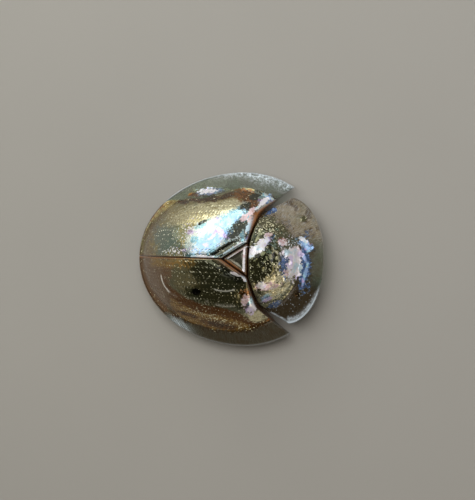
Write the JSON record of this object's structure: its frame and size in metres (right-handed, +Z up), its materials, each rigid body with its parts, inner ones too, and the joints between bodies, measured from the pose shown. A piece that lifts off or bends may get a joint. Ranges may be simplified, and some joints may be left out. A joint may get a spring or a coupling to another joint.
{
  "type": "golden tortoise beetle model",
  "caption": "Still, life-size golden tortoise beetle: a domed metallic shell with a wide clear rim over head, body and short legs, standing on its feet.",
  "frame": {"origin": "on the floor, under the middle of the bounding box", "axes": "+X towards the head, +Y towards the animal's left side, +Z up"},
  "size_m": [0.0066, 0.006, 0.0027],
  "materials": {
    "wing_case": "polished metallic gold-olive with fine rows of pits, clear amber flange at the rim",
    "shield": "polished metallic olive-gold, finely hammered, clear flange at the front",
    "scutellum": "polished dark grey-green with a bright base edge",
    "underside": "dark brown, satin, finely wrinkled",
    "leg": "translucent amber-yellow, satin, darker at the joints",
    "eye": "glossy black, faceted"
  },
  "bodies": {
    "root": {"pronotum": "shield", "scutellum": "scutellum", "elytron_left": "wing_case", "elytron_right": "wing_case", "head": "underside", "eye_left": "eye", "eye_right": "eye", "antenna_left": "leg", "antenna_right": "leg", "prothorax_underside": "underside", "thorax": "underside", "abdomen": "underside", "leg_front_left": "leg", "leg_front_right": "leg", "leg_middle_left": "leg", "leg_middle_right": "leg", "leg_hind_left": "leg", "leg_hind_right": "leg"}
  },
  "joints": []
}
